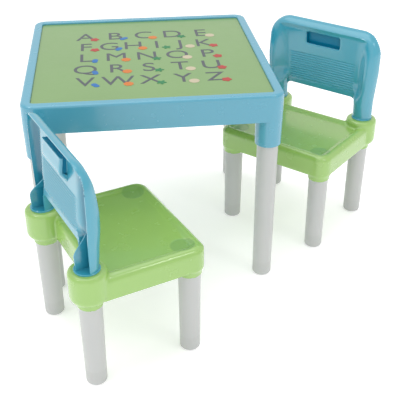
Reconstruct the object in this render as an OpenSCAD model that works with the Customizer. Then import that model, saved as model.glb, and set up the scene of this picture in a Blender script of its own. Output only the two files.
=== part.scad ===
// Children's table with two chairs. All three stand on the floor, z = 0, and +Z is up.
// The origin is under the middle of the whole set. The table's front faces -Y.
// A chair is drawn about the middle of its own four legs, facing +Y, and is then put in its place.

/* [Table] */
// Side length of the square table
table_w = 500; // [420:10:600]
// Height of the table above the floor, at its rim
table_h = 427; // [400:1:520]
// Width of the raised rim around the table top
table_rim_w = 19; // [14:0.5:24]
// How far the rim stands above the top panel
table_rim_rise = 4.7; // [2:0.1:8]
// Height of the apron below the rim's top
table_apron_h = 56; // [45:1:80]
// Radius of the apron's corners, whose centres are the leg axes
table_corner_r = 27; // [25:0.5:30]
// Radius of the rim's outer edge
table_edge_r = 6; // [3:0.5:8]
// Distance from the rim's top down to the leg sockets' mouths
table_socket_drop = 112.5; // [80:0.5:120]
// Radius of a table leg inside its socket
table_leg_r = 21.4; // [19:0.1:22]
// Radius of a table leg at the floor
table_foot_r = 19.8; // [17:0.1:21]
// Thickness of the top panel
panel_t = 3; // [2:0.5:5]

/* [Chair seat] */
// Distance between the left and right leg axes
leg_span_x = 225.2; // [200:0.2:260]
// Distance between the front and rear leg axes
leg_span_y = 192.8; // [170:0.2:230]
// Height of the sitting surface
seat_h = 231; // [215:1:260]
// How far the seat's rolled edge stands above the sitting surface
seat_rim_rise = 5; // [3:0.5:8]
// Height of the skirt's lower edge
seat_skirt_z = 189; // [185:1:195]
// Height of the leg sockets' mouths
seat_socket_z = 174; // [168:1:180]
// Radius of the seat's front corners, whose centres are the front leg axes
seat_corner_r = 27; // [26:0.5:32]
// Distance from the middle of the legs back to the seat's rear wall
seat_rear = 85; // [80:1:90]
// Radius of the two bosses that carry the backrest
boss_r = 34.5; // [32:0.5:36]
// Height of the bosses' tops
boss_h = 248.5; // [246:0.5:252]
// Radius of a chair leg inside its socket
chair_leg_r = 21; // [19:0.1:21.5]
// Radius of a chair leg at the floor
chair_foot_r = 19.3; // [17:0.1:20.5]

/* [Backrest] */
// Height of the backrest's top edge
back_h = 449; // [420:1:480]
// Half of the backrest's greatest width
back_half_w = 140; // [136:0.5:145]
// Radius of the backrest's top corners
back_corner_r = 48; // [35:1:60]
// Height of the lower edge of the backrest's panel
back_panel_z = 291; // [285:1:305]
// Radius of the half-round stems
stem_r = 22.5; // [20:0.5:24]
// Width of the hand slot
slot_w = 86; // [70:1:100]
// Height of the hand slot
slot_h = 28; // [24:1:30]

/* [Legs and feet] */
// Wall thickness of the leg tubes
leg_wall = 2; // [1.5:0.1:3]
// Height of a foot cap
cap_h = 33; // [25:1:40]
// Radius of a foot cap's lower edge
cap_edge_r = 5.5; // [2:0.5:8]

/* [Placing] */
// Place of the table's middle on the floor
table_at = [-135.7, 150.3]; // [-400:0.1:400]
// Place of the left chair's middle, from the table's middle
chair_left_from_table = [-90.2, -375.6]; // [-600:0.1:600]
// Turn of the left chair about its middle
chair_left_turn = -68.1; // [-180:0.1:180]
// Place of the right chair's middle, from the table's middle
chair_right_from_table = [344.9, 14.5]; // [-600:0.1:600]
// Turn of the right chair about its middle
chair_right_turn = 136.7; // [-180:0.1:180]

/* [Hidden] */
$fn = 96;

// General moulding sizes
wall = 3;             // of the table tray, seats and backrests
rib_t = 2.5;          // of the ribs
leg_play = 0.2;       // around a leg in its socket
socket_lip_r = 2.5;   // edge radius of a socket's mouth
over = 1;             // how far cuts and joining solids run on
skin = 0.1;           // how far a socket stays inside the corner it grows out of
shoulder = 5;         // width of the shoulder that stops a leg in its socket
recess_h = 3;         // height of the recess above the shoulder

// Table
table_half = table_w/2;
table_leg_at = table_half - table_corner_r;
panel_top_z = table_h - table_rim_rise;
ledge_z = panel_top_z - panel_t;
table_apron_z = table_h - table_apron_h;
table_socket_z = table_h - table_socket_drop;
table_stop_z = ledge_z - 20;
rim_inner_r = 3;
socket_taper = 1;
panel_gap = 0.3;
tray_rib_h = 18;

// Seat
leg_x = leg_span_x/2;
leg_y = leg_span_y/2;
seat_top_z = seat_h + seat_rim_rise;
seat_roll_r = 14;
rear_roll_r = 9;
seat_stop_z = 222;
slope_foot = 4;             // where the slope up to the rolled edge begins, from the corner centre
slope_gap = 2;              // where it ends, inside the rolled edge
slope_drop = 0.5;           // and how far below the edge's top
rear_lip_w = 22;
rear_lip_rise = 1;          // of the rear lip above the rolled edge
neck_r = 23.5;
front_neck_z = seat_skirt_z + 4;
boss_low_z = seat_skirt_z - 3;
boss_low_r = 14;            // rounding of a boss's underside
neck_foot_h = 8;
boss_edge_r = 8;
boss_bore_depth = 22;

// Backrest
back_rear = -99;              // rear edges of the backrest's shell lie in this plane
frame_front = -70.5;          // foremost point of the backrest's frame
frame_belly_z = 340;          // height of that point
belly_top = 0.0015;           // how fast the front face falls back above it, per mm
belly_low = 0.0007;           // and below it
opening_r = 12;
top_roll_r = 12;              // roll of the frame's top edge
side_bend_z = frame_belly_z + 20;
side_steps = 10;
roll_z = back_h - top_roll_r;
field_half_w = 100;           // of the recessed panel inside the frame
field_low_half_w = 90;
field_corner = 12;            // bevel of its top corners
field_top_z = 427;
field_front_low = -96;        // front face of that panel at its lower edge
field_front_high = -88;       // and at its upper edge
slot_edge_r = 5;
slot_z = field_top_z - slot_h/2;
hood_t = 2.5;
pocket_root = 1;            // how far behind the field's rear face the pocket starts
hood_rear = -105;
hood_rear_top = -102;
hood_top_z = slot_z + 7;
hood_low_z = slot_z - 31;
hood_knee_z = slot_z - 13;
disc_edge = 0.6;
stem_disc_r = stem_r + disc_edge;
stem_disc_h = 3;
peg_r = 12;
peg_play = 0.1;
peg_h = 20;
stem_rib_rear = -116;
stem_rib_curve = [[-116, 280], [-112, 297], [-102, 308], [-84, 320]];
rib_inset = 3;                // how far a stem's rib stays behind the frame's front

// Legs and feet
spigot_h = 15;
spigot_play = 0.1;
spigot_t = 2;
cap_floor = 3;

blue = [0.40, 0.67, 0.76];
green = [0.59, 0.75, 0.41];
white = [0.86, 0.86, 0.84];

CORNERS = [["front_left", -1, -1], ["front_right", 1, -1], ["back_left", -1, 1], ["back_right", 1, 1]];
CHAIRS = ["left", "right"];
CHAIR_LEGS = [["front_left", -1, 1], ["front_right", 1, 1], ["rear_left", -1, -1], ["rear_right", 1, -1]];

// Points of an arc about [x, y] from angle a to angle b
function arc(x, y, r, a, b, n = 8) =
    [for (i = [0:n]) [x + r*cos(a + (b - a)*i/n), y + r*sin(a + (b - a)*i/n)]];

// The same points reflected in x = 0, in reverse order
function mirrored(points) =
    [for (i = [len(points) - 1:-1:0]) [-points[i][0], points[i][1]]];

// Carries a 2D profile around a rounded rectangle. The profile's x runs outwards from the corner centres.
module carry_round(half_x, half_y, corner) {
    for (turn = [0:3]) {
        a = turn % 2 == 0 ? half_x : half_y;
        b = turn % 2 == 0 ? half_y : half_x;
        rotate(90*turn) {
            translate([a - corner, b - corner, 0]) rotate([90, 0, 0])
                linear_extrude(2*(b - corner)) children();
            translate([a - corner, b - corner, 0]) rotate_extrude(angle = 90) children();
        }
    }
}

// A plan outline with round corners
module rounded_plan(half_x, half_y, r) {
    square([2*half_x, 2*(half_y - r)], center = true);
    square([2*(half_x - r), 2*half_y], center = true);
    for (sx = [-1, 1], sy = [-1, 1]) translate([sx*(half_x - r), sy*(half_y - r)]) circle(r);
}

// A shape drawn in side view, as [y, z], and given a width along X about the middle
module side_view(width) {
    rotate([90, 0, 90]) linear_extrude(width, center = true) children();
}

// A shape drawn in front view, as [x, z], from y = rear to y = front
module front_view(rear, front) {
    translate([0, front, 0]) rotate([90, 0, 0]) linear_extrude(front - rear) children();
}

// The bore of a leg socket, with a smaller recess above the shoulder that stops the leg
module leg_bore(r, mouth_z, stop_z) {
    translate([0, 0, mouth_z - over]) cylinder(h = stop_z - mouth_z + over, r = r + leg_play);
    translate([0, 0, stop_z - over]) cylinder(h = over + recess_h, r = r - shoulder);
}

// ---- Table ----

// Section through the apron, the rim and the ledge that carries the panel
module tray_section() {
    out = table_corner_r;
    inner = out - table_rim_w;
    polygon(concat(
        [[out, table_apron_z]],
        arc(out - table_edge_r, table_h - table_edge_r, table_edge_r, 0, 90),
        arc(inner + rim_inner_r, table_h - rim_inner_r, rim_inner_r, 90, 180, 5),
        [[inner, ledge_z], [0, ledge_z], [0, ledge_z - wall]],
        [[out - wall, ledge_z - wall], [out - wall, table_apron_z]]
    ));
}

// Section through the outside of a table leg socket, which tapers a little towards its mouth
module tray_socket_section() {
    foot = table_corner_r - socket_taper;
    polygon(concat(
        [[0, ledge_z], [0, table_socket_z]],
        arc(foot - socket_lip_r, table_socket_z + socket_lip_r, socket_lip_r, -90, 0, 5),
        [[table_corner_r - skin, table_apron_z], [table_corner_r - skin, ledge_z]]
    ));
}

module table_tray() {
    at_table() color(blue) difference() {
        union() {
            carry_round(table_half, table_half, table_corner_r) tray_section();
            for (sx = [-1, 1], sy = [-1, 1])
                translate([sx*table_leg_at, sy*table_leg_at, 0]) rotate_extrude() tray_socket_section();
            for (turn = [0, 90])
                rotate(turn) translate([-rib_t/2, over - table_half, ledge_z - tray_rib_h])
                    cube([rib_t, table_w - 2*over, tray_rib_h]);
        }
        for (sx = [-1, 1], sy = [-1, 1])
            translate([sx*table_leg_at, sy*table_leg_at, 0])
                leg_bore(table_leg_r, table_socket_z, table_stop_z);
    }
}

module table_panel() {
    half = table_half - table_rim_w - panel_gap;
    at_table() color(green) translate([0, 0, ledge_z])
        linear_extrude(panel_t) rounded_plan(half, half, table_corner_r - table_rim_w - panel_gap);
}

module table_leg(c) {
    at_table() translate([c[1]*table_leg_at, c[2]*table_leg_at, 0])
        leg(table_foot_r, table_leg_r, table_socket_z, table_stop_z);
}

module table_foot(c) {
    at_table() translate([c[1]*table_leg_at, c[2]*table_leg_at, 0])
        foot_cap(table_foot_r, table_leg_r, table_socket_z);
}

// ---- Legs and feet, shared by the table and the chairs ----

// Outside radius of a leg at height z: it widens from the floor to the socket's mouth
function leg_r_at(foot_r, top_r, mouth_z, z) = foot_r + (top_r - foot_r)*min(z, mouth_z)/mouth_z;

// A hollow leg that stands on its foot cap and reaches up to the shoulder in its socket
module leg(foot_r, top_r, mouth_z, stop_z) {
    low_r = leg_r_at(foot_r, top_r, mouth_z, cap_h);
    color(white) rotate_extrude() polygon([
        [low_r, cap_h], [top_r, mouth_z], [top_r, stop_z],
        [top_r - leg_wall, stop_z], [top_r - leg_wall, mouth_z], [low_r - leg_wall, cap_h]
    ]);
}

// A cup that closes the leg's lower end, with a spigot up inside the tube
module foot_cap(foot_r, top_r, mouth_z) {
    low_r = leg_r_at(foot_r, top_r, mouth_z, cap_h);
    spigot_r = low_r - leg_wall - spigot_play;
    edge_r = leg_r_at(foot_r, top_r, mouth_z, cap_edge_r);
    color(white) rotate_extrude() polygon(concat(
        [[0, 0]],
        arc(edge_r - cap_edge_r, cap_edge_r, cap_edge_r, -90, 0),
        [[low_r, cap_h], [spigot_r, cap_h], [spigot_r, cap_h + spigot_h]],
        [[spigot_r - spigot_t, cap_h + spigot_h], [spigot_r - spigot_t, cap_edge_r], [0, cap_floor]]
    ));
}

// ---- Chair ----

// Section through the skirt and the rolled edge, down to the sitting surface
module seat_section() {
    out = seat_corner_r;
    roll = out - seat_roll_r;
    polygon(concat(
        [[out, seat_skirt_z]],
        arc(roll, seat_top_z - seat_roll_r, seat_roll_r, 0, 90),
        [[roll - slope_gap, seat_top_z - slope_drop], [slope_foot, seat_h], [0, seat_h]],
        [[0, seat_h - wall], [out - wall, seat_h - wall], [out - wall, seat_skirt_z]]
    ));
}

// Side view of the rear wall with its raised lip, as [y, z]
module rear_lip_section() {
    polygon(concat(
        [[-seat_rear, seat_skirt_z], [wall - seat_rear, seat_skirt_z], [wall - seat_rear, seat_h - wall]],
        [[rear_lip_w - seat_rear, seat_h - wall], [rear_lip_w - seat_rear, seat_h]],
        arc(rear_roll_r - seat_rear, seat_top_z + rear_lip_rise - rear_roll_r, rear_roll_r, 90, 180)
    ));
}

// Half section of a front socket, from its mouth up into the skirt
module front_socket_section() {
    lip_z = seat_socket_z + socket_lip_r;
    polygon(concat(
        [[0, seat_h - wall/2], [0, seat_socket_z]],
        arc(neck_r - socket_lip_r, lip_z, socket_lip_r, -90, 0, 5),
        [[neck_r, seat_socket_z + neck_foot_h], [seat_corner_r - skin, front_neck_z]],
        [[seat_corner_r - skin, seat_h - wall]]
    ));
}

// Half section of a rear boss: a socket that swells into a round boss under the backrest
module boss_section() {
    lip_z = seat_socket_z + socket_lip_r;
    polygon(concat(
        [[0, boss_h], [0, seat_socket_z]],
        arc(neck_r - socket_lip_r, lip_z, socket_lip_r, -90, 0, 5),
        [[neck_r, seat_socket_z + neck_foot_h]],
        arc(boss_r - boss_low_r, boss_low_z + boss_low_r, boss_low_r, -75, 0),
        arc(boss_r - boss_edge_r, boss_h - boss_edge_r, boss_edge_r, 0, 90)
    ));
}

module seat() {
    color(green) difference() {
        union() {
            for (s = [-1, 1]) {
                translate([s*leg_x, leg_y, 0]) rotate(s > 0 ? 0 : 90)
                    rotate_extrude(angle = 90) seat_section();
                translate([s*leg_x, s > 0 ? leg_y : -leg_y, 0]) rotate([90, 0, s > 0 ? 0 : 180])
                    linear_extrude(leg_span_y) seat_section();
                translate([s*leg_x, leg_y, 0]) rotate_extrude() front_socket_section();
                translate([s*leg_x, -leg_y, 0]) rotate_extrude() boss_section();
            }
            translate([-leg_x, leg_y, 0]) rotate([90, 0, 90]) linear_extrude(leg_span_x) seat_section();
            side_view(leg_span_x) rear_lip_section();
            translate([-leg_x - over, rear_lip_w - seat_rear - over, seat_h - wall])
                cube([leg_span_x + 2*over, leg_y + seat_rear - rear_lip_w + 2*over, wall]);
        }
        for (s = [-1, 1]) {
            for (end = [-1, 1]) translate([s*leg_x, end*leg_y, 0])
                leg_bore(chair_leg_r, seat_socket_z, seat_stop_z);
            translate([s*leg_x, -leg_y, boss_h - boss_bore_depth])
                cylinder(h = boss_bore_depth + over, r = peg_r + peg_play);
        }
    }
}

// Front face of the backrest's frame at height z
function frame_y(z) = frame_front - (z > frame_belly_z ? belly_top : belly_low)*pow(z - frame_belly_z, 2);

// Right half of the backrest's outline in front view, drawn in by g, from the top down to the opening's top
function back_half_outline(g) = concat(
    [for (p = arc(back_half_w - back_corner_r, back_h - back_corner_r, back_corner_r - g, 90, 0, 12)) p],
    [[back_half_w - g, side_bend_z], [leg_x + stem_r - g, back_panel_z]],
    [[leg_x + stem_r - g, boss_h], [leg_x - stem_r + g, boss_h]],
    arc(leg_x - stem_r - opening_r, back_panel_z - opening_r, opening_r + g, 0, 90, 6)
);

function back_outline(g) = concat(back_half_outline(g), mirrored(back_half_outline(g)));

// Side view of the backrest, with its front face drawn in by g
function back_side(g, rear) = concat(
    [[rear, boss_h]],
    [for (i = [0:side_steps]) let (z = boss_h + (roll_z - boss_h)*i/side_steps) [frame_y(z) - g, z]],
    arc(frame_y(roll_z) - top_roll_r, roll_z, top_roll_r - g, 0, 90, 5),
    [[rear, back_h - g]]
);

// Outline of the recessed field inside the frame, grown by g
function field_outline(g) = let (half = [
    [field_half_w - field_corner + g, field_top_z + g], [field_half_w + g, field_top_z - field_corner + g],
    [field_half_w + g, frame_belly_z], [field_low_half_w + g, back_panel_z - g - over]
]) concat(half, mirrored(half));

// The solid between the backrest's outline and its side view
module back_block(g, rear) {
    intersection() {
        front_view(rear, 0) polygon(back_outline(g));
        side_view(2*table_half) polygon(back_side(g, rear));
    }
}

// Everything above height z
module above(z) {
    translate([-table_half, -table_half, z]) cube(2*table_half);
}

// Round bars where the stems are
module stem_bars(r) {
    for (s = [-1, 1]) translate([s*leg_x, back_rear, boss_h]) cylinder(h = back_panel_z - boss_h, r = r);
}

// The frame: an open-backed channel around the field, on two half-round stems
module back_frame() {
    frame_foot_z = back_panel_z - opening_r;
    difference() {
        union() {
            intersection() {
                back_block(0, back_rear);
                above(frame_foot_z);
            }
            stem_bars(stem_r);
        }
        difference() {
            intersection() {
                back_block(wall, back_rear - over);
                above(frame_foot_z + wall);
            }
            front_view(back_rear - 2*over, 0) polygon(field_outline(wall));
        }
        stem_bars(stem_r - wall);
        front_view(back_rear - over, 0) polygon(field_outline(0));
        translate([-table_half, back_rear - 2*stem_r, boss_h - over]) cube([2*table_half, 2*stem_r, back_h]);
    }
}

// The field, which leans forward towards its top, with the hand slot and the pocket behind it
module back_field() {
    difference() {
        intersection() {
            side_view(2*field_half_w + 2*over) polygon([
                [field_front_low - wall, back_panel_z], [field_front_low, back_panel_z],
                [field_front_high, field_top_z + over], [field_front_high - wall, field_top_z + over]
            ]);
            front_view(back_rear - over, 0) polygon(field_outline(over));
        }
        front_view(hood_rear, 0) translate([0, slot_z]) rounded_plan(slot_w/2, slot_h/2, slot_edge_r);
    }
    pocket();
}

// The pocket behind the slot: a rear wall, two cheeks and a top, so that it opens only to the front
module pocket() {
    root = field_front_high - wall - pocket_root;
    rear_wall = [[hood_rear, hood_knee_z], [hood_rear_top, hood_top_z]];
    lid = [[root, field_top_z + over], [root, field_top_z - hood_t + over]];
    side_view(slot_w + 2*hood_t) polygon(concat(
        [[root, hood_low_z]], rear_wall, lid,
        [[hood_rear_top + hood_t, hood_top_z - hood_t], [hood_rear + hood_t, hood_knee_z]],
        [[root + over, hood_low_z + hood_t]]
    ));
    for (s = [-1, 1]) translate([s*(slot_w + hood_t)/2, 0, 0]) side_view(hood_t) polygon(concat(
        [[root, hood_low_z]], rear_wall, [[root, field_top_z + over], [root + over, hood_low_z + hood_t]]
    ));
}

// A stem's base disc, its peg and the rib that stiffens its hollow back
module stem_foot() {
    translate([0, -leg_y, boss_h]) cylinder(h = stem_disc_h, r = stem_disc_r);
    translate([0, -leg_y, boss_h - peg_h]) cylinder(h = peg_h + over, r = peg_r);
    side_view(rib_t) polygon(concat(
        [[frame_y(boss_h) - rib_inset, boss_h + over], [stem_rib_rear, boss_h + over]], stem_rib_curve,
        [[frame_y(stem_rib_curve[3][1]) - rib_inset, stem_rib_curve[3][1]]]
    ));
}

module backrest() {
    color(blue) {
        back_frame();
        back_field();
        for (s = [-1, 1]) translate([s*leg_x, 0, 0]) stem_foot();
    }
}

module at_table() {
    translate([table_at[0], table_at[1], 0]) children();
}

module at_chair(side) {
    from = side == "left" ? chair_left_from_table : chair_right_from_table;
    turn = side == "left" ? chair_left_turn : chair_right_turn;
    translate([table_at[0] + from[0], table_at[1] + from[1], 0]) rotate(turn) children();
}

module chair_leg(side, c) {
    at_chair(side) translate([c[1]*leg_x, c[2]*leg_y, 0])
        leg(chair_foot_r, chair_leg_r, seat_socket_z, seat_stop_z);
}

module chair_foot(side, c) {
    at_chair(side) translate([c[1]*leg_x, c[2]*leg_y, 0])
        foot_cap(chair_foot_r, chair_leg_r, seat_socket_z);
}

table_tray();
table_panel();
for (c = CORNERS) {
    table_leg(c);
    table_foot(c);
}
for (s = CHAIRS) {
    at_chair(s) seat();
    at_chair(s) backrest();
    for (c = CHAIR_LEGS) {
        chair_leg(s, c);
        chair_foot(s, c);
    }
}
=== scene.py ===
"""Kids table and two chairs: moulded plastic, an alphabet print on the table top, push-in legs.

The tray, panel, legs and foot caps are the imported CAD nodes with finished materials. The seats are
softened from their CAD nodes, and the backrests are built here as thin moulded shells. A chair is
worked in its own frame, in millimetres, about the middle of its four legs and facing +Y.
"""

import math

import bmesh
import bpy
from mathutils import Matrix, Vector
from mathutils.geometry import delaunay_2d_cdt


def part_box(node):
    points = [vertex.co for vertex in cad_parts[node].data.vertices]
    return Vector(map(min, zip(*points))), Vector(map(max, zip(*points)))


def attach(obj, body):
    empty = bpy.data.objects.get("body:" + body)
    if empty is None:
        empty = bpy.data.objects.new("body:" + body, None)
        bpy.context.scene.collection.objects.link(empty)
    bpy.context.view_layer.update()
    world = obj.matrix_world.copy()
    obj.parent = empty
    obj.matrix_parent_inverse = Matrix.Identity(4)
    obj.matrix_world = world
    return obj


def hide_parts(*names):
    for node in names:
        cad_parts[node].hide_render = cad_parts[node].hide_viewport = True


MM = 0.001
JOIN_DISTANCE = 0.01
SIDES = ("left", "right")
CORNERS = ("front_left", "front_right", "rear_left", "rear_right")

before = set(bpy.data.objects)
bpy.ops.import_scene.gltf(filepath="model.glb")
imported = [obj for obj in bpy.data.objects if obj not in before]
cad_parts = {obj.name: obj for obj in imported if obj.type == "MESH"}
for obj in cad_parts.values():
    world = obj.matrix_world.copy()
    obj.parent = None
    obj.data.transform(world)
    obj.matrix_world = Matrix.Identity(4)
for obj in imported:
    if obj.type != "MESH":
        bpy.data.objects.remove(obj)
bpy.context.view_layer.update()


# ---- Small helpers ----


def clamp(t, low=0.0, high=1.0):
    return max(low, min(high, t))


def smooth(t):
    """0 to 1 with flat ends."""
    t = clamp(t)
    return t * t * (3 - 2 * t)


def ramp(value, start, end):
    """0 up to start and 1 from end on, with flat ends."""
    return smooth((value - start) / (end - start))


def within(value, low, high, fade):
    """1 between low and high, fading to 0 at both over the given length inside them."""
    return smooth((value - low) / fade) * smooth((high - value) / fade)


def mix(a, b, t):
    return a + (b - a) * t


def quarter(t):
    """A quarter circle: 0 with an upright tangent at 0, and 1 from t = 1 on."""
    return math.sqrt(max(0.0, 1 - (1 - clamp(t)) ** 2))


def corner_distance(x, z, half, top, radius):
    """Distance outside a shape with upright sides at x = half, a flat top and round corners."""
    qx, qz = x - (half - radius), z - (top - radius)
    return math.hypot(max(qx, 0), max(qz, 0)) + min(max(qx, qz), 0) - radius


def arc(cx, cz, radius, start, end, steps):
    """Points of an arc from one angle to another, in degrees."""
    turns = [math.radians(mix(start, end, i / steps)) for i in range(steps + 1)]
    return [(cx + radius * math.cos(a), cz + radius * math.sin(a)) for a in turns]


def divided(points, step):
    """The same path with extra points, so that none are further apart than step."""
    out = [points[0]]
    for a, b in zip(points, points[1:]):
        n = max(1, math.ceil(math.dist(a, b) / step))
        out += [(mix(a[0], b[0], i / n), mix(a[1], b[1], i / n)) for i in range(1, n + 1)]
    return out


def grid(xs, zs):
    return [(x, z) for x in xs for z in zs]


def span(start, end, step):
    """Evenly spaced values from start to end, about step apart."""
    n = round((end - start) / step)
    return [mix(start, end, i / n) for i in range(n + 1)]


def evaluated_mesh(obj):
    """What an object looks like with its modifiers or its text applied. The object is removed."""
    bpy.context.scene.collection.objects.link(obj)
    mesh = bpy.data.meshes.new_from_object(obj.evaluated_get(bpy.context.evaluated_depsgraph_get()))
    bpy.data.objects.remove(obj)
    return mesh


def new_object(name, mesh, material):
    mesh.materials.append(material)
    obj = bpy.data.objects.new(name, mesh)
    bpy.context.scene.collection.objects.link(obj)
    return obj


def finished(bm, name, sharp_angle):
    """A mesh from bm, smooth but for edges sharper than the angle."""
    bmesh.ops.remove_doubles(bm, verts=bm.verts, dist=JOIN_DISTANCE)
    bmesh.ops.recalc_face_normals(bm, faces=bm.faces)
    mesh = bpy.data.meshes.new(name)
    bm.to_mesh(mesh)
    bm.free()
    mesh.polygons.foreach_set("use_smooth", [True] * len(mesh.polygons))
    mesh.set_sharp_from_angle(angle=math.radians(sharp_angle))
    return mesh


# ---- Materials ----

TONE_DROP = 0.94
TONE_RANGE = (0.3, 0.7)
GLOSS_DRIFT = 0.2
GRAIN_HEIGHT = 0.0002
COAT_SHARE = 0.4
COAT_ROUGHNESS = 0.09
PLASTIC_IOR = 1.49
SCATTER_RADIUS = (0.4, 0.6, 0.7)
SCATTER_SCALE = 0.004


def plastic(name, colour, roughness, grain, gloss_level=0.9, see_through=0.0, painted_shade=None):
    """Moulded plastic: a slow drift of tone, uneven gloss and a fine moulded grain.
    mark is a colour of painted shade, which the mesh's mark attribute fades in."""
    mat = bpy.data.materials.new(name)
    mat.use_nodes = True
    nodes, links = mat.node_tree.nodes, mat.node_tree.links
    bsdf = nodes["Principled BSDF"]
    place = nodes.new("ShaderNodeTexCoord")

    def noise(scale, detail):
        texture = nodes.new("ShaderNodeTexNoise")
        texture.inputs["Scale"].default_value = scale
        texture.inputs["Detail"].default_value = detail
        links.new(place.outputs["Object"], texture.inputs["Vector"])
        return texture.outputs["Fac"]

    tone = nodes.new("ShaderNodeValToRGB")
    darker = [c * TONE_DROP for c in colour]
    for stop, position, tint in zip(tone.color_ramp.elements, TONE_RANGE, (darker, colour)):
        stop.position = position
        stop.color = (*tint, 1)
    links.new(noise(5.0, 3.0), tone.inputs["Fac"])
    surface = tone.outputs["Color"]
    if painted_shade:
        where = nodes.new("ShaderNodeAttribute")
        where.attribute_name = "painted_shade"
        with_painted_shade = nodes.new("ShaderNodeMix")
        with_painted_shade.data_type = "RGBA"
        with_painted_shade.inputs["B"].default_value = (*painted_shade, 1)
        links.new(where.outputs["Fac"], with_painted_shade.inputs["Factor"])
        links.new(surface, with_painted_shade.inputs["A"])
        surface = with_painted_shade.outputs["Result"]
    links.new(surface, bsdf.inputs["Base Color"])

    spread = nodes.new("ShaderNodeMapRange")
    spread.inputs["To Min"].default_value = roughness * (1 - GLOSS_DRIFT)
    spread.inputs["To Max"].default_value = roughness * (1 + GLOSS_DRIFT)
    links.new(noise(40.0, 4.0), spread.inputs["Value"])
    links.new(spread.outputs["Result"], bsdf.inputs["Roughness"])

    bump = nodes.new("ShaderNodeBump")
    bump.inputs["Strength"].default_value = grain
    bump.inputs["Distance"].default_value = GRAIN_HEIGHT
    links.new(noise(700.0, 2.0), bump.inputs["Height"])
    links.new(bump.outputs["Normal"], bsdf.inputs["Normal"])

    bsdf.inputs["IOR"].default_value = PLASTIC_IOR
    bsdf.inputs["Specular IOR Level"].default_value = gloss_level
    bsdf.inputs["Coat Weight"].default_value = gloss_level * COAT_SHARE
    bsdf.inputs["Coat Roughness"].default_value = COAT_ROUGHNESS
    bsdf.inputs["Subsurface Weight"].default_value = see_through
    bsdf.inputs["Subsurface Radius"].default_value = SCATTER_RADIUS
    bsdf.inputs["Subsurface Scale"].default_value = SCATTER_SCALE
    return mat


TRAY_BLUE = plastic("tray_plastic", (0.07, 0.335, 0.465), roughness=0.26, grain=0.08)
PANEL_GREEN = plastic("panel_plastic", (0.17, 0.32, 0.09), roughness=0.32, grain=0.08, gloss_level=0.7)
# The second colour is painted shade: darker discs where the front legs' tops show through the seat.
SEAT_GREEN = plastic(
    "seat_plastic", (0.29, 0.505, 0.11), roughness=0.26, grain=0.08,
    gloss_level=1.0, see_through=0.05, painted_shade=(0.17, 0.35, 0.09),
)
# The second colour is painted shade, deeper inside the hollow back of the frame's channel.
BACK_BLUE = plastic(
    "backrest_plastic", (0.035, 0.32, 0.44), roughness=0.24, grain=0.08,
    gloss_level=1.0, see_through=0.05, painted_shade=(0.0, 0.18, 0.28),
)
# Painted shade: the pocket's cup takes the deep colour of the shade inside it.
POCKET_SHADE_BLUE = plastic("pocket_painted_shade", (0.0, 0.20, 0.34), roughness=0.35, grain=0.1, gloss_level=0.3)
LEG_WHITE = plastic(
    "leg_plastic", (0.50, 0.51, 0.50), roughness=0.36, grain=0.15, gloss_level=0.6, see_through=0.1
)
FOOT_WHITE = plastic(
    "foot_plastic", (0.49, 0.50, 0.49), roughness=0.45, grain=0.3, gloss_level=0.5, see_through=0.1
)

CAD_FINISHES = (
    ("table_tray", TRAY_BLUE, "tray_blue"),
    ("table_panel", PANEL_GREEN, "panel_green"),
    ("_leg_", LEG_WHITE, "leg_white"),
    ("_foot_", FOOT_WHITE, "foot_white"),
)
for node_name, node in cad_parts.items():
    for part_of_name, finish, slot_name in CAD_FINISHES:
        if part_of_name in node_name:
            node.data.materials.clear()
            node.data.materials.append(finish)


# ---- Where the chairs stand ----


def middle(node_name):
    low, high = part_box(node_name)
    return (low + high) / 2


def chair_place(side):
    """The chair's own frame, from its four foot caps: millimetres in, the shared frame out."""
    feet = {c: middle(f"chair_{side}_foot_{c}") for c in CORNERS}
    centre = sum(feet.values(), Vector()) / len(feet)
    centre.z = 0
    forward = feet["front_left"] + feet["front_right"] - feet["rear_left"] - feet["rear_right"]
    turn = math.atan2(-forward.x, forward.y)
    return Matrix.Translation(centre) @ Matrix.Rotation(turn, 4, "Z") @ Matrix.Scale(MM, 4)


PLACES = {side: chair_place(side) for side in SIDES}


def in_chair(side, node_name):
    """A copy of a CAD node's mesh in the chair's own frame."""
    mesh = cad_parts[node_name].data.copy()
    mesh.transform(PLACES[side].inverted())
    return mesh


rear_foot = PLACES["left"].inverted() @ middle("chair_left_foot_rear_right")
LEG_X = abs(rear_foot.x)
BOSS_Y = rear_foot.y
BOSS_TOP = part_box("chair_left_seat")[1].z / MM
BACK_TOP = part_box("chair_left_backrest")[1].z / MM


# ---- Backrest ----

# Outline in front view
BACK_HALF = 140
BACK_CORNER = 48
SIDE_BEND = 360
STEM_R = 22.5
STEM_OUTER = LEG_X + STEM_R
STEM_INNER = LEG_X - STEM_R
STEM_FOOT = BOSS_TOP + 3
PANEL_LOW = 291
OPENING_R = 12

# The stems turn into the frame between these two heights.
STEM_SPREAD = (285, 330)

# Rear plane and the frame's front
REAR = -99
TOP_SET_BACK = 6
SET_BACK_FROM = 425
CREST = -70.5
BELLY_Z = 340
BELLY_FALL_TOP = 0.0015
BELLY_FALL_LOW = 0.0007
SIDE_ROLL = 18
TOP_ROLL = 14
TOP_ROLL_SPREAD = (400, 430)

# Field
FIELD_LOW_Y = -96
FIELD_LEAN = 8
FIELD_HALF_LOW = STEM_INNER
FIELD_HALF_HIGH = 80
FIELD_TOP = 427
FIELD_STARTS = (276, 292)
SIDE_SLOPE = 42
TOP_SLOPE = 10
GROOVE_COUNT = 12
GROOVES_HALF = 84
GROOVES_LOW, GROOVES_HIGH = 303, 372
GROOVE_PITCH = (GROOVES_HIGH - GROOVES_LOW) / GROOVE_COUNT
GROOVE_DEPTH = 1.4

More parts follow.
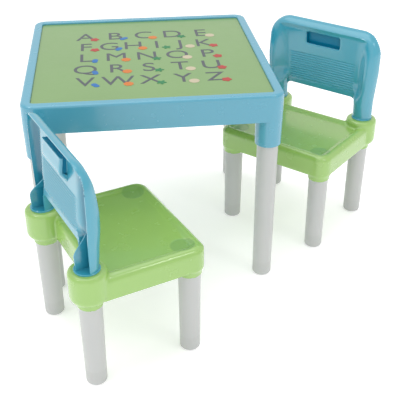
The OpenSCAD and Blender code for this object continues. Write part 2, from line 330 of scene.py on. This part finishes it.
# Hand slot and the pocket behind it
SLOT_HALF = 43
SLOT_LOW, SLOT_HIGH = 397, 425
SLOT_R = 5
SLOT_DIP = 2.2
SLOT_DIP_REACH = 3
HOOD_LOW, HOOD_KNEE, HOOD_HIGH = 378, 398, 425
HOOD_REAR = -105
HOOD_LEAN = 3
HOOD_ROLL = 4
HOOD_WALL = 2.0
POCKET_WALL = 1.6

# Walls and meshing
BACK_WALL = 2.4
OUTLINE_STEP = 4
EDGE_INSETS = (0.4, 1.2, 2.4, 4, 6.2, 9, 12.5, 16.5)
SLOT_GROWS = (0.6, 1.5, 3)
ROW_REACH = 17
FINE_HALF = 86
FINE_MARGIN = 3
FINE_STEP = 5.4
COARSE_HALF = 132
COARSE_STEP = 3.6
BACK_SHARP = 38

# Stem feet
DISC_LIP = 0.6
DISC_BEVEL = 0.8
RIB_HALF_T = 1.25
RIB_TOP = 322
RIB_LEAN = 9
RIB_REAR = -116
RIB_SWELL = 1.5
RIB_INSET = 1.5


def rear_y(z):
    """The rear edges lie in one plane, and the top edge stands back from it."""
    return REAR - TOP_SET_BACK * ramp(z, SET_BACK_FROM, BACK_TOP)


def crest_y(z):
    """The foremost line of the frame: a belly at mid height that falls back above and below."""
    fall = BELLY_FALL_TOP if z > BELLY_Z else BELLY_FALL_LOW
    return CREST - fall * (z - BELLY_Z) ** 2


def field_y(z):
    """Front face of the recessed field, which leans forward towards its top."""
    return FIELD_LOW_Y + FIELD_LEAN * clamp((z - PANEL_LOW) / (FIELD_TOP - PANEL_LOW))


def side_x(z):
    """Half width of the backrest at height z."""
    return mix(STEM_OUTER, BACK_HALF, clamp((z - PANEL_LOW) / (SIDE_BEND - PANEL_LOW)))


def slot_distance(x, z):
    """Distance outside the hand slot."""
    half_h = (SLOT_HIGH - SLOT_LOW) / 2
    qx = abs(x) - SLOT_HALF + SLOT_R
    qz = abs(z - (SLOT_LOW + SLOT_HIGH) / 2) - half_h + SLOT_R
    return math.hypot(max(qx, 0), max(qz, 0)) + min(max(qx, qz), 0) - SLOT_R


def groove(x, z):
    """Depth of the fine level grooves across the field."""
    inside = smooth((GROOVES_HALF - x) / 5) * within(z, GROOVES_LOW - 2, GROOVES_HIGH + 2, 2)
    wave = 0.5 - 0.5 * math.cos(2 * math.pi * (z - GROOVES_LOW) / GROOVE_PITCH)
    return GROOVE_DEPTH * inside * wave**2


def back_front(x, z):
    """The backrest's front surface: y at a place in front view."""
    x = abs(x)
    rear = rear_y(z)
    frame_share = ramp(z, *STEM_SPREAD)
    edge = -corner_distance(x, z, side_x(z), BACK_TOP, BACK_CORNER)
    roll_width = mix(mix(STEM_R, SIDE_ROLL, frame_share), TOP_ROLL, ramp(z, *TOP_ROLL_SPREAD))
    field_half = mix(FIELD_HALF_LOW, FIELD_HALF_HIGH, frame_share)
    beside = max(0, x - field_half) / mix(STEM_R, SIDE_SLOPE, frame_share)
    above = max(0, z - FIELD_TOP) / TOP_SLOPE
    t = clamp(math.hypot(beside, above))
    rise = mix(quarter(t), smooth(t) ** mix(2, 1, clamp(above)), frame_share)
    field = (field_y(z) - REAR) * ramp(z, *FIELD_STARTS)
    field -= groove(x, z) + SLOT_DIP * (1 - quarter(slot_distance(x, z) / SLOT_DIP_REACH))
    crest = (crest_y(z) - rear) * quarter(edge / roll_width)
    return rear + field + (crest - field) * rise


def straight_back(x, z):
    """1 on the grooved part of the field, fading to 0 round it."""
    return smooth((FIELD_HALF_LOW - abs(x)) / 5) * within(z, GROOVES_LOW - 7, GROOVES_HIGH + 7, 5)


def back_outline(inset):
    """The backrest's outline in front view, drawn in by inset: a loop round the frame and the opening."""
    cx, cz = BACK_HALF - BACK_CORNER, BACK_TOP - BACK_CORNER
    half = [(0, BACK_TOP - inset)]
    half += arc(cx, cz, BACK_CORNER - inset, 90, 0, 16)
    half += [(BACK_HALF - inset, SIDE_BEND), (STEM_OUTER - inset, PANEL_LOW)]
    half += [(STEM_OUTER - inset, STEM_FOOT), (STEM_INNER + inset, STEM_FOOT)]
    half += arc(STEM_INNER - OPENING_R, PANEL_LOW - OPENING_R, OPENING_R + inset, 0, 90, 8)
    half += [(0, PANEL_LOW + inset)]
    half = divided(half, OUTLINE_STEP)
    return half + [(-x, z) for x, z in reversed(half[1:-1])]


def slot_outline(grow):
    """The hand slot's outline, grown outwards."""
    x, low, high = SLOT_HALF - SLOT_R, SLOT_LOW + SLOT_R, SLOT_HIGH - SLOT_R
    corners = ((x, high, 0), (-x, high, 90), (-x, low, 180), (x, low, 270))
    loop = [p for cx, cz, a in corners for p in arc(cx, cz, SLOT_R + grow, a, a + 90, 4)]
    return divided(loop + loop[:1], OUTLINE_STEP)[:-1]


def inside_back(x, z):
    """True where the backrest has material in front view."""
    x = abs(x)
    if corner_distance(x, z, side_x(z), BACK_TOP, BACK_CORNER) > 0 or slot_distance(x, z) < 0:
        return False
    opening_x, opening_z = x - (STEM_INNER - OPENING_R), z - (PANEL_LOW - OPENING_R)
    if opening_x > 0 and opening_z > 0:
        return math.hypot(opening_x, opening_z) > OPENING_R
    return z > PANEL_LOW or x > STEM_INNER


def back_points():
    """Points over the backrest's front: close rows along its edges and grooves, and a grid between."""
    outline = back_outline(0)
    slot = slot_outline(0)
    points = outline + slot
    for inset in EDGE_INSETS:
        points += back_outline(inset)
    for grow in SLOT_GROWS:
        points += slot_outline(grow)
    groove_rows = span(GROOVES_LOW - FINE_MARGIN, GROOVES_HIGH + FINE_MARGIN, GROOVE_PITCH / 6)
    points += [p for p in grid(span(-FINE_HALF, FINE_HALF, FINE_STEP), groove_rows) if inside_back(*p)]
    clear = FINE_MARGIN + 2
    across = span(-COARSE_HALF, COARSE_HALF, COARSE_STEP)
    for x, z in grid(across, span(STEM_FOOT, BACK_TOP, COARSE_STEP)):
        from_middle = abs(x)
        on_grooves = from_middle < FINE_HALF + 3 and GROOVES_LOW - clear < z < GROOVES_HIGH + clear
        by_stem = from_middle < STEM_INNER + ROW_REACH and z < PANEL_LOW - OPENING_R + 1
        by_panel = from_middle < STEM_INNER and z < PANEL_LOW + ROW_REACH
        edge = -corner_distance(from_middle, z, side_x(z), BACK_TOP, BACK_CORNER)
        free = edge > ROW_REACH + 1 and slot_distance(x, z) > SLOT_GROWS[-1] + 1
        if free and not (on_grooves or by_stem or by_panel):
            points.append((x, z))
    return points, len(outline), len(slot)


def add_shell(bm, corners, faces, wall, straight=None):
    """Adds a sheet given a wall thickness behind it, with its rim closed. Where straight(x, z)
    is 1, the wall is measured straight back along Y, so that fine relief shows on both sides."""
    sheet = bmesh.new()
    verts = [sheet.verts.new(p) for p in corners]
    for f in faces:
        sheet.faces.new([verts[i] for i in f])
    loose = [v for v in sheet.verts if not v.link_faces]
    bmesh.ops.delete(sheet, geom=loose, context="VERTS")
    sheet.normal_update()
    front = {v: bm.verts.new(v.co) for v in sheet.verts}
    back = {}
    for v in sheet.verts:
        share = straight(v.co.x, v.co.z) if straight else 0
        outward = v.normal.lerp(Vector((0, 1, 0)), share).normalized()
        back[v] = bm.verts.new(v.co - outward * wall)
    for f in sheet.faces:
        bm.faces.new([front[v] for v in f.verts])
        bm.faces.new([back[v] for v in reversed(f.verts)])
    for e in sheet.edges:
        if e.is_boundary:
            a, b = (loop.vert for loop in (e.link_loops[0], e.link_loops[0].link_loop_next))
            bm.faces.new((front[b], front[a], back[a], back[b]))
    sheet.free()


def add_back_sheet(bm):
    """Adds the moulded sheet of field, frame and stems, meshed in front view."""
    points, n_outline, n_slot = back_points()
    edges = [(i, (i + 1) % n_outline) for i in range(n_outline)]
    edges += [(n_outline + i, n_outline + (i + 1) % n_slot) for i in range(n_slot)]
    verts, _, faces, *_ = delaunay_2d_cdt([Vector(p) for p in points], edges, [], 0, 0.05)
    kept = []
    for f in faces:
        x = sum(verts[i].x for i in f) / len(f)
        z = sum(verts[i].y for i in f) / len(f)
        if inside_back(x, z):
            a, b, c = f
            area = (verts[b] - verts[a]).cross(verts[c] - verts[a])
            kept.append((a, c, b) if area > 0 else (a, b, c))
    corners = [(v.x, back_front(v.x, v.y), v.y) for v in verts]
    add_shell(bm, corners, kept, BACK_WALL, straight_back)


def hood_y(z):
    """Rear face of the pocket behind the slot: it swells out of the field and leans in at its top."""
    knee = mix(field_y(HOOD_LOW) - BACK_WALL, HOOD_REAR, ramp(z, HOOD_LOW, HOOD_KNEE))
    return knee + HOOD_LEAN * ramp(z, HOOD_KNEE, HOOD_HIGH)


def add_hood(bm):
    """The rear wall of the pocket, with rolled edges. Below the slot they run forward to the field."""
    half = SLOT_HALF + 3
    # The path across, as [x, share of the way forward to the root, share of the roll's lift]
    side_path = [(-half, 1.0, 1.0), (-half, 0.66, 1.0), (-half, 0.33, 1.0)]
    for turn in map(math.radians, (0, 30, 60, 90)):
        side_path.append((-half + HOOD_ROLL * (1 - math.cos(turn)), 0.0, 1 - math.sin(turn)))
    path = side_path + [(x, 0.0, 0.0) for x in span(-half + HOOD_ROLL, half - HOOD_ROLL, 6)[1:-1]]
    path += [(-x, forward, lifted) for x, forward, lifted in reversed(side_path)]
    rows = span(HOOD_LOW, HOOD_HIGH, 3)
    corners = []
    for z in rows:
        rear = hood_y(z)
        field_root = field_y(z) - BACK_WALL / 2
        lift = min(HOOD_ROLL, field_root - rear)
        root = mix(field_root, rear + lift + 0.5, smooth((z - SLOT_LOW + 4) / 5))
        corners += [(x, mix(rear + lift * lifted, root, forward), z) for x, forward, lifted in path]
    n = len(path)
    starts = [row * n + i for row in range(len(rows) - 1) for i in range(n - 1)]
    faces = [(a, a + n, a + n + 1, a + 1) for a in starts]
    add_shell(bm, corners, faces, -HOOD_WALL)


def pocket_mesh():
    """The pocket's cup, in a deep colour that is painted shade: open only to the front, and seen from
    behind past its rear wall.
    """
    bm = bmesh.new()
    half, low, high = SLOT_HALF + 1, SLOT_LOW - 1, SLOT_HIGH
    corners = []
    for depth in (0, 1):
        for x, z in ((-half, low), (half, low), (half, high), (-half, high)):
            mouth, floor = field_y(z) - 1.5, hood_y(z) + POCKET_WALL + 0.8
            corners.append((x, mix(mouth, floor, depth), z))
    faces = [(0, 1, 5, 4), (1, 2, 6, 5), (2, 3, 7, 6), (3, 0, 4, 7), (4, 5, 6, 7)]
    add_shell(bm, corners, faces, POCKET_WALL)
    return finished(bm, "pocket", 30)


def add_turned(bm, x, y, profile, steps=48):
    """Adds a turned solid from a profile of [radius, z] that starts and ends on its axis."""
    rings = []
    for radius, z in profile:
        if radius == 0:
            rings.append([bm.verts.new((x, y, z))])
            continue
        turns = [2 * math.pi * i / steps for i in range(steps)]
        rings.append([bm.verts.new((x + radius * math.cos(a), y + radius * math.sin(a), z)) for a in turns])
    for low, high in zip(rings, rings[1:]):
        for i in range(steps):
            j = (i + 1) % steps
            ring = [low[i % len(low)], low[j % len(low)], high[j % len(high)], high[i % len(high)]]
            bm.faces.new(list(dict.fromkeys(ring)))


def add_stem_disc(bm, x):
    """The disc that a stem stands on."""
    r, low, high = STEM_R + DISC_LIP, BOSS_TOP, STEM_FOOT
    rim = ((r, low), (r, high - DISC_BEVEL), (r - DISC_BEVEL, high))
    add_turned(bm, x, BOSS_Y, ((0, low), *rim, (0, high)))


def add_stem_rib(bm, side):
    """The upright rib in a stem's hollow back. Its top leans towards the field and runs out in it."""
    rings = []
    for z in span(STEM_FOOT - 1, RIB_TOP, 3):
        x = side * (LEG_X - RIB_LEAN * ramp(z, 282, RIB_TOP))
        swell = RIB_SWELL * math.sin(math.pi * clamp((z - 250) / 60))
        front = back_front(x, z) - RIB_INSET
        rear = min(mix(RIB_REAR - swell, -88, ramp(z, 278, 320)), front - 1)
        low_x, high_x = x - RIB_HALF_T, x + RIB_HALF_T
        section = ((low_x, front), (low_x, rear), (high_x, rear), (high_x, front))
        rings.append([bm.verts.new((cx, cy, z)) for cx, cy in section])
    for low_ring, high_ring in zip(rings, rings[1:]):
        for i in range(4):
            j = (i + 1) % 4
            bm.faces.new((low_ring[i], low_ring[j], high_ring[j], high_ring[i]))
    bm.faces.new(rings[0][::-1])
    bm.faces.new(rings[-1])


def backrest_mesh():
    """The whole backrest but the pocket's cup. Its hollow side is marked for painted shade, a deeper colour
    inside the frame's channel.
    """
    bm = bmesh.new()
    add_back_sheet(bm)
    add_hood(bm)
    for side in (-1, 1):
        add_stem_disc(bm, side * LEG_X)
        add_stem_rib(bm, side)
    mesh = finished(bm, "backrest", BACK_SHARP)
    painted_shade = mesh.attributes.new("painted_shade", "FLOAT", "POINT")
    for v in mesh.vertices:
        x, y, z = v.co
        if z > STEM_FOOT and back_front(x, z) - y > BACK_WALL / 2:
            beside_field = smooth((abs(x) - FIELD_HALF_HIGH) / 8)
            painted_shade.data[v.index].value = beside_field * smooth((y - rear_y(z) - 4) / 7)
    return mesh


# ---- Seat ----

SEAT_VOXEL = 1.8
SEAT_SMOOTHING = 6
DISC_AT = (106, 86)
DISC_R = 22
DISC_DEPTH = 0.4
DISC_PAINTED_SHADE = 0.6
DISH_LOW = 226


def softened(mesh, voxel, rounds):
    """The CAD solid with every edge and joint softened as a moulding's are."""
    obj = bpy.data.objects.new("softened", mesh)
    remesh = obj.modifiers.new("even", "REMESH")
    remesh.mode = "VOXEL"
    remesh.voxel_size = voxel
    soft = obj.modifiers.new("soft", "SMOOTH")
    soft.factor = 0.5
    soft.iterations = rounds
    return evaluated_mesh(obj)


def seat_mesh():
    """The softened seat, with two shallow discs at the front of its dish, also marked for painted shade:
    darker where the legs below show through.
    """
    mesh = softened(in_chair("left", "chair_left_seat"), SEAT_VOXEL, SEAT_SMOOTHING)
    painted_shade = mesh.attributes.new("painted_shade", "FLOAT", "POINT")
    for v in mesh.vertices:
        from_disc = math.hypot(abs(v.co.x) - DISC_AT[0], v.co.y - DISC_AT[1])
        if v.co.z > DISH_LOW and from_disc < DISC_R + 2:
            share = smooth((DISC_R + 1 - from_disc) / 2)
            v.co.z -= DISC_DEPTH * share
            painted_shade.data[v.index].value = DISC_PAINTED_SHADE * share
    mesh.polygons.foreach_set("use_smooth", [True] * len(mesh.polygons))
    return mesh


# ---- The moulded pieces of both chairs ----


def put_chairs():
    """A softened seat, a shell backrest and a pocket's cup for each chair."""
    moulded = (
        ("seat", seat_mesh(), SEAT_GREEN, "seat_green", True),
        ("backrest", backrest_mesh(), BACK_BLUE, "backrest_blue", True),
        ("pocket", pocket_mesh(), POCKET_SHADE_BLUE, "backrest_blue", False),
    )
    for side in SIDES:
        for kind, mesh, finish, slot_name, stands_for_cad in moulded:
            shape = mesh.copy()
            shape.transform(PLACES[side])
            shape.materials.clear()
            piece = new_object(f"chair_{side}_{kind}_moulded", shape, finish)
            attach(piece, f"chair_{side}")
            if stands_for_cad:
                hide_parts(f"chair_{side}_{kind}")


put_chairs()


# ---- The print on the table top ----

LETTER_ROWS = ("ABCDE", "FGHIJK", "LMNOP", "QRSTU", "VWXYZ")
LETTER_SIZE = 0.064
LETTER_SPAN = 0.26
ROW_PITCH = 0.066
PRINT_THICK = 0.0002
LETTER_LIFT = 0.5
BADGE_LIFT = 1.3
BADGE_R = 0.0105
BADGE_STEPS = 60
BADGE_OFFSET = (0.02, -0.017)
BADGE_TURN = 0.7
LETTER_INK = "grey"
INKS = {
    "grey": (0.075, 0.085, 0.10),
    "red": (0.42, 0.04, 0.03),
    "blue": (0.01, 0.14, 0.42),
    "orange": (0.60, 0.17, 0.02),
    "green": (0.01, 0.19, 0.06),
    "cream": (0.52, 0.46, 0.32),
}
# Badges as [lobes, depth between them]: a flower, a star, a leaf, a disc and a scalloped disc
BADGES = ((5, 0.22), (5, 0.42), (2, 0.45), (0, 0), (8, 0.12))


def letter_mesh(letter):
    curve = bpy.data.curves.new("letter", "FONT")
    curve.body = letter
    curve.size = LETTER_SIZE
    curve.extrude = PRINT_THICK / 2
    curve.align_x, curve.align_y = "CENTER", "CENTER"
    return evaluated_mesh(bpy.data.objects.new("letter", curve))


def badge_mesh(lobes, depth):
    """A small plain shape that goes with a letter."""
    bm = bmesh.new()
    rim = []
    for i in range(BADGE_STEPS):
        turn = 2 * math.pi * i / BADGE_STEPS
        r = BADGE_R * (1 - depth * (0.5 - 0.5 * math.cos(lobes * turn)))
        rim.append(bm.verts.new((r * math.cos(turn), r * math.sin(turn), -PRINT_THICK / 2)))
    grown = bmesh.ops.extrude_face_region(bm, geom=[bm.faces.new(rim)])
    raised = [g for g in grown["geom"] if isinstance(g, bmesh.types.BMVert)]
    bmesh.ops.translate(bm, verts=raised, vec=(0, 0, PRINT_THICK))
    bmesh.ops.recalc_face_normals(bm, faces=bm.faces)
    mesh = bpy.data.meshes.new("badge")
    bm.to_mesh(mesh)
    bm.free()
    return mesh


def letter_places():
    """Each letter with its x and y from the panel's middle."""
    for row, letters in enumerate(LETTER_ROWS):
        pitch = LETTER_SPAN / (len(letters) - 1)
        y = ((len(LETTER_ROWS) - 1) / 2 - row) * ROW_PITCH
        for column, letter in enumerate(letters):
            yield letter, (column - (len(letters) - 1) / 2) * pitch, y


def put_print():
    """An alphabet in even rows, with a small plain shape beside each letter, as one piece per ink."""
    low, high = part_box("table_panel")
    centre = (low + high) / 2
    layers = {ink: bmesh.new() for ink in INKS}
    badge_inks = [ink for ink in INKS if ink != LETTER_INK]

    def add(ink, mesh, x, y, lift, turn=0.0):
        place = Matrix.Translation((centre.x + x, centre.y + y, high.z + lift * PRINT_THICK))
        mesh.transform(place @ Matrix.Rotation(turn, 4, "Z"))
        layers[ink].from_mesh(mesh)

    for count, (letter, x, y) in enumerate(letter_places()):
        add(LETTER_INK, letter_mesh(letter), x, y, LETTER_LIFT)
        ink = badge_inks[count % len(badge_inks)]
        badge = badge_mesh(*BADGES[count * 2 % len(BADGES)])
        add(ink, badge, x + BADGE_OFFSET[0], y + BADGE_OFFSET[1], BADGE_LIFT, count * BADGE_TURN)
    for ink, bm in layers.items():
        mesh = bpy.data.meshes.new(f"print_{ink}")
        bm.to_mesh(mesh)
        bm.free()
        finish = plastic(f"ink_{ink}", INKS[ink], roughness=0.4, grain=0.1, gloss_level=0.3)
        piece = new_object(f"table_print_{ink}", mesh, finish)
        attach(piece, "table")


put_print()


# ---- Surroundings ----

FLOOR_REACH = 12
FLOOR_DROP = 0.0005
FLOOR_TONE = (0.93, 0.93, 0.93)
FLOOR_GLOW = 0.33
SKY_STRENGTH = 0.9
LIT_POINT = (0, 0, 0.3)
# Name, place, size in metres and power in watts. The two small lamps put highlights on the edges.
LAMPS = (
    ("overhead", (-0.4, 0.2, 2.6), 2.4, 22),
    ("left_sparkle", (-1.7, -0.9, 2.2), 0.3, 4),
    ("right_sparkle", (1.2, -1.2, 2.3), 0.3, 4),
    ("front", (-0.9, -2.5, 1.4), 2.2, 3),
)
CAMERA_AT = (-0.2115, -1.4279, 1.0143)
CAMERA_DOWN = 0.543
CAMERA_HEADING = -0.1198
CAMERA_LENS = 69.8
CAMERA_SENSOR = 36


def put_floor():
    mesh = bpy.data.meshes.new("floor")
    corners = [(x * FLOOR_REACH, y * FLOOR_REACH, 0) for x, y in ((-1, -1), (1, -1), (1, 1), (-1, 1))]
    mesh.from_pydata(corners, [], [(0, 1, 2, 3)])
    mat = bpy.data.materials.new("floor_paper")
    mat.use_nodes = True
    bsdf = mat.node_tree.nodes["Principled BSDF"]
    bsdf.inputs["Base Color"].default_value = (*FLOOR_TONE, 1)
    bsdf.inputs["Roughness"].default_value = 0.9
    bsdf.inputs["Emission Color"].default_value = (1, 1, 1, 1)
    bsdf.inputs["Emission Strength"].default_value = FLOOR_GLOW
    floor = new_object("floor", mesh, mat)
    floor.location.z = -FLOOR_DROP


def put_lamp(name, place, size, power):
    """A soft square lamp that faces the set."""
    data = bpy.data.lights.new(name, "AREA")
    data.shape = "SQUARE"
    data.size = size
    data.energy = power
    lamp = bpy.data.objects.new(name, data)
    lamp.location = place
    facing = Vector(LIT_POINT) - Vector(place)
    lamp.rotation_euler = facing.to_track_quat("-Z", "Y").to_euler()
    bpy.context.scene.collection.objects.link(lamp)


def put_studio():
    world = bpy.data.worlds.new("studio")
    world.use_nodes = True
    sky = world.node_tree.nodes["Background"]
    sky.inputs["Color"].default_value = (1, 1, 1, 1)
    sky.inputs["Strength"].default_value = SKY_STRENGTH
    bpy.context.scene.world = world
    for lamp in LAMPS:
        put_lamp(*lamp)
    bpy.context.scene.view_settings.view_transform = "Standard"


def put_camera():
    """A long lens above the front, looking down at the set."""
    data = bpy.data.cameras.new("camera")
    data.sensor_width = CAMERA_SENSOR
    data.lens = CAMERA_LENS
    data.clip_end = 50
    camera = bpy.data.objects.new("camera", data)
    camera.location = CAMERA_AT
    camera.rotation_euler = (math.pi / 2 - CAMERA_DOWN, 0, CAMERA_HEADING)
    bpy.context.scene.collection.objects.link(camera)
    bpy.context.scene.camera = camera


put_floor()
put_studio()
put_camera()
